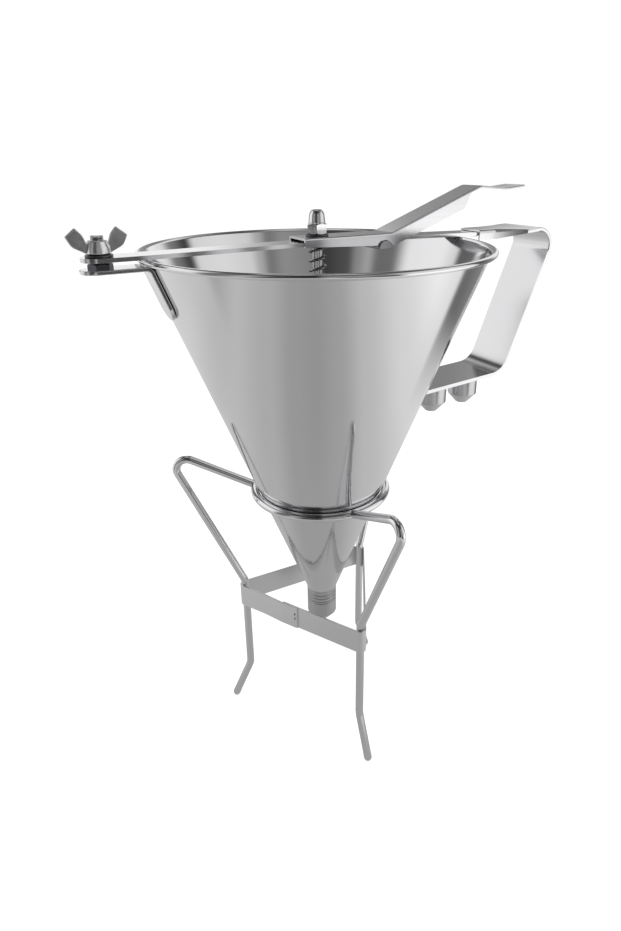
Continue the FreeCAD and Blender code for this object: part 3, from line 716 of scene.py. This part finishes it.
# %% Plug
PLUG_LOW = SEAT_Z + 0.6
PLUG_HIGH = PLUG_LOW + 4.2
PLUG_PLAY, NOSE_R, HEAD_R = 0.16, 2.5, 4.4
SEAL_R, SEAL_INSET = 0.8, 0.9
GROOVE_BACK, GROOVE_FLOOR, GROOVE_MOUTH = 0.4, 0.6, 0.85


def seat_r(z):
    """Radius of the ferrule's conical seat at a height."""
    return BORE_R + (SPOUT_BORE - BORE_R) * (z - SEAT_Z) / (SPOUT_Z - SEAT_Z)


def plug_r(z):
    """Radius of the plug, which keeps a little play to the seat."""
    return seat_r(z) - PLUG_PLAY


low, high = heights("valve_plug")
seal_z = (PLUG_LOW + PLUG_HIGH) / 2
seal_r = seat_r(seal_z) - SEAL_INSET
mouth_low, mouth_high = seal_z - GROOVE_MOUTH, seal_z + GROOVE_MOUTH
outline = [(0, low, 0), (NOSE_R, low, 0.8), (plug_r(PLUG_LOW), PLUG_LOW, 0.4)]
outline += [(plug_r(mouth_low), mouth_low, 0.1), (seal_r - GROOVE_BACK, seal_z - GROOVE_FLOOR, 0.2)]
outline += [(seal_r - GROOVE_BACK, seal_z + GROOVE_FLOOR, 0.2), (plug_r(mouth_high), mouth_high, 0.1)]
outline += [(plug_r(PLUG_HIGH), PLUG_HIGH, 0.5), (HEAD_R, high, 0.5), (0, high, 0)]
plug = spun("plug", outline, steps=64)
fit(plug, "valve", ["valve_plug"], turned_finish)

# %% [markdown]
# ## The seal
# A rubber ring lies in the plug's groove and shuts the spout. It is a small circle spun round the axis, in a
# dark rubber whose dullness comes from fine grain.

# %% Rubber
RUBBER_GREY, RUBBER_GRAIN = 0.045, 1500.0
RUBBER_ROUGH = (0.45, 0.65)
seal_finish = bpy.data.materials.new("seal_rubber")
seal_finish.use_nodes = True
nodes, links = seal_finish.node_tree.nodes, seal_finish.node_tree.links
shader = nodes["Principled BSDF"]
shader.inputs["Base Color"].default_value = (RUBBER_GREY, RUBBER_GREY, RUBBER_GREY, 1)
grain = nodes.new("ShaderNodeTexNoise")
grain.inputs["Scale"].default_value = RUBBER_GRAIN
links.new(nodes.new("ShaderNodeTexCoord").outputs["Object"], grain.inputs["Vector"])
spread = nodes.new("ShaderNodeMapRange")
spread.inputs["To Min"].default_value = RUBBER_ROUGH[0]
spread.inputs["To Max"].default_value = RUBBER_ROUGH[1]
links.new(grain.outputs["Fac"], spread.inputs["Value"])
links.new(spread.outputs["Result"], shader.inputs["Roughness"])
print("finish", seal_finish.name)

# %% Seal
SEAL_STEPS = 12
turns = [2 * math.pi * k / SEAL_STEPS for k in range(SEAL_STEPS)]
circle = [(seal_r + SEAL_R * math.cos(a), seal_z + SEAL_R * math.sin(a)) for a in turns]
seal = spun("seal", circle, steps=64, rounding=False)
fit(seal, "valve", ["valve_seal"], seal_finish)

# %% Collar
COLLAR_R, COLLAR_EDGE = 7.0, 0.75
low, high = heights("spring_collar")
outline = [(ROD_R, low, 0), (COLLAR_R, low, COLLAR_EDGE), (COLLAR_R, high, COLLAR_EDGE), (ROD_R, high, 0)]
collar = spun("collar", outline, steps=64)
fit(collar, "valve", ["spring_collar"], turned_finish)

# %% Cross pin
PIN_R, PIN_EDGE = 1.2, 0.3
low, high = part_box("collar_pin")
length = (high.y - low.y) / MM
pin = spun("pin", [(0, 0, 0), (PIN_R, 0, PIN_EDGE), (PIN_R, length, PIN_EDGE), (0, length, 0)], steps=24)
edit_all()
bpy.ops.transform.rotate(value=math.pi / 2, orient_axis="X", center_override=(0, 0, 0))
bpy.ops.object.mode_set(mode="OBJECT")
pin_start = min(corner.co.y for corner in pin.data.vertices)
edit_all()
bpy.ops.transform.translate(value=(0, low.y - pin_start, (low.z + high.z) / 2))
bpy.ops.object.mode_set(mode="OBJECT")
fit(pin, "valve", ["collar_pin"], turned_finish)

# %% [markdown]
# ## The spring
# The spring's closed ends are coils laid flat. Its line is a helix whose pitch runs out over the first and
# last turn, traced and bevelled like the other wires.

# %% The spring's line
COIL_R, COIL_WIRE, COILS, COIL_STEPS = 4.35, 0.6, 14, 20
CLOSED_TURNS, COIL_GAP = 1.25, 0.05
spring_low, spring_high = heights("valve_spring")
rise = spring_high - spring_low - 2 * COIL_WIRE
flat_pitch = 2 * COIL_WIRE + COIL_GAP
open_pitch = (rise - 2 * CLOSED_TURNS * flat_pitch) / (COILS - 2 * CLOSED_TURNS)


def coil_rise(t):
    """Height above the first coil after t turns: closed, open and closed again."""
    first = min(t, CLOSED_TURNS) * flat_pitch
    free = max(0, min(t, COILS - CLOSED_TURNS) - CLOSED_TURNS) * open_pitch
    last = max(0, t - COILS + CLOSED_TURNS) * flat_pitch
    return first + free + last


print("the open coils rise", round(open_pitch, 2), "mm a turn")

# %% Spring
path = []
for k in range(COILS * COIL_STEPS + 1):
    t = k / COIL_STEPS
    a = 2 * math.pi * t
    path.append((COIL_R * math.cos(a), COIL_R * math.sin(a), spring_low + COIL_WIRE + coil_rise(t)))
spring = wire("spring", path, COIL_WIRE, segments=2)
fit(spring, "funnel", ["valve_spring"], spring_steel_and_painted_shade)
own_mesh(spring)

# %% [markdown]
# ## Nuts, washers and the stud
# A nut is a hexagonal bar whose corners were faced off in the lathe. So a six-sided cylinder and a turned
# blank with sloping ends are laid over each other, and a boolean keeps what they share. The washers, the dome
# and the stud are spun, and the stud's thread is shown as rings.

# %% Washers
WASHER_R, STUD_PLAY = 6.2, 0.06
STUD_X = -112.9


def washer(name, node, x, bore, body):
    """A flat washer as thick as its frame node, round an upright axis at x."""
    low, high = heights(node)
    outline = [(bore, low, 0.15), (WASHER_R, low, 0.25), (WASHER_R, high, 0.35), (bore, high, 0.15)]
    piece = spun(name, outline, steps=64, x=x)
    return fit(piece, body, [node], painted_shade_steel)


washer("top_washer", "rod_washer", 0, ROD_R, "valve")
washer("clamp_washer", "wing_washer", STUD_X, ROD_R + STUD_PLAY, "funnel")

# %% A hexagon and its blank
NUT_FLATS = 10.0
FACE_SHARE, CHAMFER_SLOPE, BLANK_PROUD = 0.94, 0.577, 0.01


def blank_for(name, x, z0, z1, corner, face, chamfer_low):
    """Turned blank just wider than a nut, its top and if asked its bottom edge sloped off."""
    wide = corner + BLANK_PROUD
    slope = (corner - face) * CHAMFER_SLOPE
    outline = [(0, z0, 0)]
    outline += [(face, z0, 0), (wide, z0 + slope, 0)] if chamfer_low else [(wide, z0, 0)]
    outline += [(wide, z1 - slope, 0), (face, z1, 0), (0, z1, 0)]
    return spun(name + "_blank", outline, steps=96, x=x)


def hexagon(name, x, z0, z1, chamfer_low):
    """Six-sided nut with its corners faced off round: what a hexagon and a turned blank share."""
    deselect()
    corner = NUT_FLATS / 2 / math.cos(math.pi / 6)
    bpy.ops.mesh.primitive_cylinder_add(vertices=6, radius=corner * MM, depth=(z1 - z0) * MM,
                                        location=(x * MM, 0, (z0 + z1) / 2 * MM),
                                        rotation=(0, 0, math.pi / 6))
    bpy.ops.object.transform_apply(location=True, rotation=True, scale=True)
    nut = bpy.context.object
    nut.name = name
    blank = blank_for(name, x, z0, z1, corner, NUT_FLATS / 2 * FACE_SHARE, chamfer_low)
    take_up(nut)
    facing = nut.modifiers.new("facing", "BOOLEAN")
    facing.operation = "INTERSECT"
    facing.object = blank
    facing.solver = "EXACT"
    bpy.ops.object.modifier_apply(modifier="facing")
    bpy.data.objects.remove(blank)
    return nut


print("nuts are", NUT_FLATS, "mm over the flats")

# %% Domed nut
HEX_HEIGHT, DOME_FOOT, NECK_Z, DOME_Z = 5.4, 5.0, 5.9, 6.0
NECK_R, DOME_R, DOME_SHOULDER_R, DOME_TOP_R = 4.4, 4.6, 4.1, 3.0
NUT_SMOOTH = 30
low, high = heights("cap_nut")
body_nut = hexagon("domed_nut", 0, low, low + HEX_HEIGHT, True)
outline = [(0, low + DOME_FOOT, 0), (NECK_R, low + DOME_FOOT, 0), (NECK_R, low + NECK_Z, 0.1)]
outline += [(DOME_R, low + DOME_Z, 0.1), (DOME_SHOULDER_R, high - 2.2, 2.0), (DOME_TOP_R, high - 0.1, 1.6)]
outline += [(0, high, 0)]
dome = spun("dome", outline, steps=64)
domed_nut = joined([body_nut, dome])
smooth(domed_nut, NUT_SMOOTH)
nut_finish = steel("polished_nut", (0.80, 0.80, 0.81), (0.05, 0.10), 0.1, stretch=ROUND_ABOUT)
fit(domed_nut, "valve", ["cap_nut"], nut_finish)

# %% Lower nut
low, high = heights("base_nut")
lower_nut = hexagon("lower_nut", STUD_X, low, high, False)
smooth(lower_nut, NUT_SMOOTH)
fit(lower_nut, "funnel", ["base_nut"], painted_shade_steel)

# %% Stud
STUD_R = 3.0
THREAD_PITCH, THREAD_DEPTH, THREAD_START, THREAD_STOP = 1.0, 0.35, 1.5, 1.0
ROOT_FROM, ROOT_TO = THREAD_PITCH * 0.45, THREAD_PITCH * 0.55
low, high = heights("clamp_stud")
root_r = STUD_R - THREAD_DEPTH
outline = [(0, low), (STUD_R, low)]
z = low + THREAD_START
while z < high - THREAD_STOP:
    outline += [(STUD_R, z), (root_r, z + ROOT_FROM), (root_r, z + ROOT_TO)]
    z += THREAD_PITCH
outline += [(STUD_R, z), (2.8, high - 0.6), (2.2, high - 0.2), (1.2, high), (0, high)]
stud = spun("stud", outline, steps=48, x=STUD_X, rounding=False)
fit(stud, "funnel", ["clamp_stud"], turned_finish)

# %% [markdown]
# ## The wing nut
# The wing nut is cast and polished: a tapered hub and two upswept wings with soft edges. A wing is traced
# from the side, given its thickness and soft edges, and made again half a turn on. A remesh would blur the
# edges, so the wings simply reach into the hub and are joined with it.

# %% Wing
WING_SIDE = [(3.4, 0.4, 0), (5.3, 0.4, 1.0), (11.4, 3.4, 5.0), (13.6, 8.0, 0.6),
             (8.9, 11.8, 0.6), (6.0, 8.6, 5.0), (4.6, 4.4, 1.0), (3.4, 4.4, 0)]
WING_WALL = 2.2
wing_z = heights("wing_nut")[0]


def wing(name, turn):
    """One wing on the stud's axis, turned about it."""
    line = rounded(WING_SIDE)
    piece = start_point(name, (line[0][0], -WING_WALL / 2, line[0][1]))
    trace([(x, 0, z) for x, z in line + line[:1]])
    merge_doubles()
    bpy.ops.mesh.edge_face_add()
    bpy.ops.mesh.extrude_region_move(TRANSFORM_OT_translate={"value": (0, WING_WALL * MM, 0)})
    close_up()
    bpy.ops.object.mode_set(mode="OBJECT")
    break_edges(piece, width=0.5, segments=3, degrees=50)
    edit_all()
    bpy.ops.transform.rotate(value=turn, orient_axis="Z", center_override=(0, 0, 0))
    bpy.ops.transform.translate(value=(STUD_X * MM, 0, wing_z * MM))
    bpy.ops.object.mode_set(mode="OBJECT")
    return piece


print("the wings start", round(wing_z, 1), "mm up")

# %% Wing nut
HUB_SIDE = [(3.06, 0, 0.1), (5.6, 0, 0.8), (5.3, 3.0, 2.5), (4.1, 6.2, 1.0), (3.06, 6.2, 0)]
hub = spun("wing_nut_piece", [(r, wing_z + up, soft) for r, up, soft in HUB_SIDE], steps=64, x=STUD_X)
winged = joined([hub, wing("wing_a", 0.0), wing("wing_b", math.pi)])
smooth(winged, degrees=40)
fit(winged, "wing", ["wing_nut"], cast_finish)

# %% [markdown]
# ## The hidden rim wire
# The wire inside the roll can only be glimpsed from below, so its frame node stays and gets the wire finish.

# %% Rim wire
kept = NODES["rim_wire"]
kept.data.materials.clear()
kept.data.materials.append(wire_finish)
print("kept", kept.name, "with", wire_finish.name)

# %% [markdown]
# ## The studio
# Polished steel shows what stands round it, so the light is mostly a matter of what there is to reflect. The
# floor and the world are white where the camera looks. Reflections see a room instead, as a photographer
# would build it: dark and bright cards round the table, a painted shade patch on the floor's glow in front,
# painted light on the floor's glow to one side, and a ceiling that turns dark above the walls and pale again
# right overhead. Plain white would leave the steel blank.

# %% Ramps and cards
def ramp(nodes, links, source, stops):
    """A grey ramp through (place, level) stops, driven by a value."""
    shades = nodes.new("ShaderNodeValToRGB")
    marks = shades.color_ramp.elements
    while len(marks) < len(stops):
        marks.new(0.5)
    for mark, (spot, grey) in zip(marks, stops):
        mark.position = spot
        mark.color = (grey, grey, grey, 1)
    shades.color_ramp.interpolation = "EASE"
    links.new(source, shades.inputs["Fac"])
    return shades.outputs["Color"]


def cards(nodes, links, vector, stops):
    """Dark and bright cards round the table, by the compass direction of a vector."""
    parts = nodes.new("ShaderNodeSeparateXYZ")
    links.new(vector, parts.inputs["Vector"])
    around = nodes.new("ShaderNodeMath")
    around.operation = "ARCTAN2"
    links.new(parts.outputs["Y"], around.inputs[0])
    links.new(parts.outputs["X"], around.inputs[1])
    turn = nodes.new("ShaderNodeMapRange")
    turn.inputs["From Min"].default_value = -math.pi
    turn.inputs["From Max"].default_value = math.pi
    links.new(around.outputs["Value"], turn.inputs["Value"])
    return ramp(nodes, links, turn.outputs["Result"], stops)


def multiplied(nodes, links, first, second, share=None):
    """Two colours multiplied, the second one only by its share."""
    both = nodes.new("ShaderNodeMix")
    both.data_type = "RGBA"
    both.blend_type = "MULTIPLY"
    both.inputs["Factor"].default_value = 1.0
    if share:
        links.new(share, both.inputs["Factor"])
    links.new(first, both.inputs["A"])
    links.new(second, both.inputs["B"])
    return both.outputs["Result"]


print("ramps and cards ready")

# %% Floor as the eye sees it
FLOOR_GREY = 0.85
DIM_GLOW, CAMERA_GLOW = 0.15, 0.46
floor_finish = bpy.data.materials.new("pale_floor")
floor_finish.use_nodes = True
nodes, links = floor_finish.node_tree.nodes, floor_finish.node_tree.links
nodes.remove(nodes["Principled BSDF"])
rays = nodes.new("ShaderNodeLightPath")
plain = nodes.new("ShaderNodeBsdfDiffuse")
plain.inputs["Color"].default_value = (FLOOR_GREY, FLOOR_GREY, FLOOR_GREY, 1)
whiten = nodes.new("ShaderNodeMapRange")
whiten.inputs["To Min"].default_value = DIM_GLOW
whiten.inputs["To Max"].default_value = CAMERA_GLOW
links.new(rays.outputs["Is Camera Ray"], whiten.inputs["Value"])
glow = nodes.new("ShaderNodeEmission")
links.new(whiten.outputs["Result"], glow.inputs["Strength"])
lit = nodes.new("ShaderNodeAddShader")
links.new(plain.outputs["BSDF"], lit.inputs[0])
links.new(glow.outputs["Emission"], lit.inputs[1])
print("the floor glows", CAMERA_GLOW, "to the camera")

# %% Painted shade patch on the floor
PAINTED_SHADE_AT, PAINTED_SHADE_TURN = (-0.128, -0.215, 0.0), math.radians(59)
PAINTED_SHADE_STRETCH, PAINTED_SHADE_REACH = (2.8, 1, 1), 1.1
PAINTED_SHADE_STOPS = ((0.0, 0.33), (0.08, 0.37), (0.17, 0.50), (0.30, 0.64), (0.48, 0.82), (0.85, 1.0))
CARDS_FROM = ((0.0, 0.0), (0.27, 0.0), (0.50, 1.0))
place = nodes.new("ShaderNodeTexCoord").outputs["Object"]
shifted = nodes.new("ShaderNodeMapping")
shifted.vector_type = "TEXTURE"
shifted.inputs["Location"].default_value = PAINTED_SHADE_AT
shifted.inputs["Rotation"].default_value = (0, 0, PAINTED_SHADE_TURN)
shifted.inputs["Scale"].default_value = PAINTED_SHADE_STRETCH
links.new(place, shifted.inputs["Vector"])
distance = nodes.new("ShaderNodeVectorMath")
distance.operation = "LENGTH"
links.new(shifted.outputs["Vector"], distance.inputs[0])
share = nodes.new("ShaderNodeMath")
share.operation = "DIVIDE"
share.inputs[1].default_value = PAINTED_SHADE_REACH
links.new(distance.outputs["Value"], share.inputs[0])
# Painted shade: the floor's glow to reflections darkens towards a patch in front of the dispenser.
painted_shade_patch = ramp(nodes, links, share.outputs["Value"], PAINTED_SHADE_STOPS)
far = ramp(nodes, links, share.outputs["Value"], CARDS_FROM)
print("the patch lies", [round(v / MM) for v in PAINTED_SHADE_AT], "mm from the axis")

# %% Painted light: the floor's glow brighter to one side
PAINTED_LIGHT_SIDE, PAINTED_LIGHT_REACH = (0.86, -0.51, 0.0), 0.4
PAINTED_LIGHT_LEVELS = (0.90, 1.32)
# Painted light: the floor's glow to reflections grows stronger towards one side.
sideways = nodes.new("ShaderNodeVectorMath")
sideways.operation = "DOT_PRODUCT"
sideways.inputs[1].default_value = PAINTED_LIGHT_SIDE
links.new(place, sideways.inputs[0])
painted_light_tilt = nodes.new("ShaderNodeMapRange")
painted_light_tilt.inputs["From Min"].default_value = -PAINTED_LIGHT_REACH
painted_light_tilt.inputs["From Max"].default_value = PAINTED_LIGHT_REACH
painted_light_tilt.inputs["To Min"].default_value = PAINTED_LIGHT_LEVELS[0]
painted_light_tilt.inputs["To Max"].default_value = PAINTED_LIGHT_LEVELS[1]
links.new(sideways.outputs["Value"], painted_light_tilt.inputs["Value"])
print("the floor's strength runs from", PAINTED_LIGHT_LEVELS[0], "to", PAINTED_LIGHT_LEVELS[1])

# %% Floor as reflections see it
FLOOR_CARDS = ((0.0, 0.25), (0.04, 0.6), (0.09, 0.05), (0.17, 0.05), (0.19, 0.5), (0.215, 0.03),
               (0.295, 0.03), (0.325, 1.0), (0.40, 1.0), (0.47, 0.85), (0.487, 0.15), (0.56, 0.20),
               (0.60, 0.9), (0.84, 1.0), (0.95, 0.9), (0.98, 0.25), (1.0, 0.25))
FLOOR_SIZE = 12
around = cards(nodes, links, place, FLOOR_CARDS)
mirrored = nodes.new("ShaderNodeEmission")
links.new(multiplied(nodes, links, painted_shade_patch, around, far), mirrored.inputs["Color"])
links.new(painted_light_tilt.outputs["Result"], mirrored.inputs["Strength"])
choose = nodes.new("ShaderNodeMixShader")
links.new(rays.outputs["Is Glossy Ray"], choose.inputs["Fac"])
links.new(lit.outputs["Shader"], choose.inputs[1])
links.new(mirrored.outputs["Emission"], choose.inputs[2])
links.new(choose.outputs["Shader"], nodes["Material Output"].inputs["Surface"])
deselect()
bpy.ops.mesh.primitive_plane_add(size=FLOOR_SIZE)
floor = bpy.context.object
floor.name = "floor"
floor.data.materials.append(floor_finish)
floor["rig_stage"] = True
print("floor of", FLOOR_SIZE, "m with", len(FLOOR_CARDS), "card stops")

# %% World as reflections see it
WALL_CARDS = ((0.0, 0.16), (0.02, 0.16), (0.045, 0.40), (0.07, 0.28), (0.095, 0.08), (0.165, 0.04),
              (0.185, 0.25), (0.25, 0.30), (0.285, 0.20), (0.31, 0.45), (0.335, 0.72), (0.40, 0.80),
              (0.465, 0.75), (0.487, 0.04), (0.53, 0.20), (0.57, 0.8), (0.61, 0.9), (0.64, 0.22),
              (0.675, 0.30), (0.70, 0.92), (0.73, 0.90), (0.755, 0.14), (0.80, 0.12), (0.82, 0.75),
              (0.86, 0.92), (0.94, 0.90), (0.985, 0.16), (1.0, 0.16))
TENT = ((0.0, 0.95), (0.15, 1.0), (0.58, 0.95), (0.72, 0.35), (0.86, 0.12), (0.91, 0.16),
        (0.965, 0.80), (1.0, 0.90))
ROOM_STRENGTH = 1.12
world = bpy.data.worlds.new("studio")
bpy.context.scene.world = world
world.use_nodes = True
nodes, links = world.node_tree.nodes, world.node_tree.links
direction = nodes.new("ShaderNodeTexCoord").outputs["Generated"]
heading = nodes.new("ShaderNodeSeparateXYZ")
links.new(direction, heading.inputs["Vector"])
tent = ramp(nodes, links, heading.outputs["Z"], TENT)
around = cards(nodes, links, direction, WALL_CARDS)
room = nodes.new("ShaderNodeBackground")
room.inputs["Strength"].default_value = ROOM_STRENGTH
links.new(multiplied(nodes, links, tent, around), room.inputs["Color"])
print("room with", len(WALL_CARDS), "card stops")

# %% World as the camera and diffuse light see it
WHITE = (1, 1, 1, 1)
SOFT_LEVEL = 0.7
behind = nodes["Background"]
behind.inputs["Color"].default_value = WHITE
level = nodes.new("ShaderNodeBackground")
level.inputs["Color"].default_value = WHITE
level.inputs["Strength"].default_value = SOFT_LEVEL
rays = nodes.new("ShaderNodeLightPath")
polished = nodes.new("ShaderNodeMixShader")
links.new(rays.outputs["Is Glossy Ray"], polished.inputs["Fac"])
links.new(level.outputs["Background"], polished.inputs[1])
links.new(room.outputs["Background"], polished.inputs[2])
seen = nodes.new("ShaderNodeMath")
seen.operation = "MAXIMUM"
links.new(rays.outputs["Is Camera Ray"], seen.inputs[0])
links.new(rays.outputs["Is Transmission Ray"], seen.inputs[1])
shown = nodes.new("ShaderNodeMixShader")
links.new(seen.outputs["Value"], shown.inputs["Fac"])
links.new(polished.outputs["Shader"], shown.inputs[1])
links.new(behind.outputs["Background"], shown.inputs[2])
links.new(shown.outputs["Shader"], nodes["World Output"].inputs["Surface"])
print("soft light at", SOFT_LEVEL)

# %% Lamps
LAMPS = (("key", (-0.7, -0.5, 1.3), 0.9, 6.0), ("fill", (0.9, -0.6, 0.9), 0.7, 3.0))
AIM_AT = Vector((0, 0, 0.2))
for name, spot, size, power in LAMPS:
    lamp = bpy.data.lights.new(name, "AREA")
    lamp.size = size
    lamp.energy = power
    holder = bpy.data.objects.new(name, lamp)
    holder.visible_glossy = False
    bpy.context.scene.collection.objects.link(holder)
    holder.location = spot
    aim = AIM_AT - Vector(spot)
    holder.rotation_euler = aim.to_track_quat("-Z", "Y").to_euler()
    print("lamp", name, "at", spot)

# %% Sizes at the end
low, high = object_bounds()
print("visual box in mm", [[round(v / MM, 1) for v in corner] for corner in (low, high)])
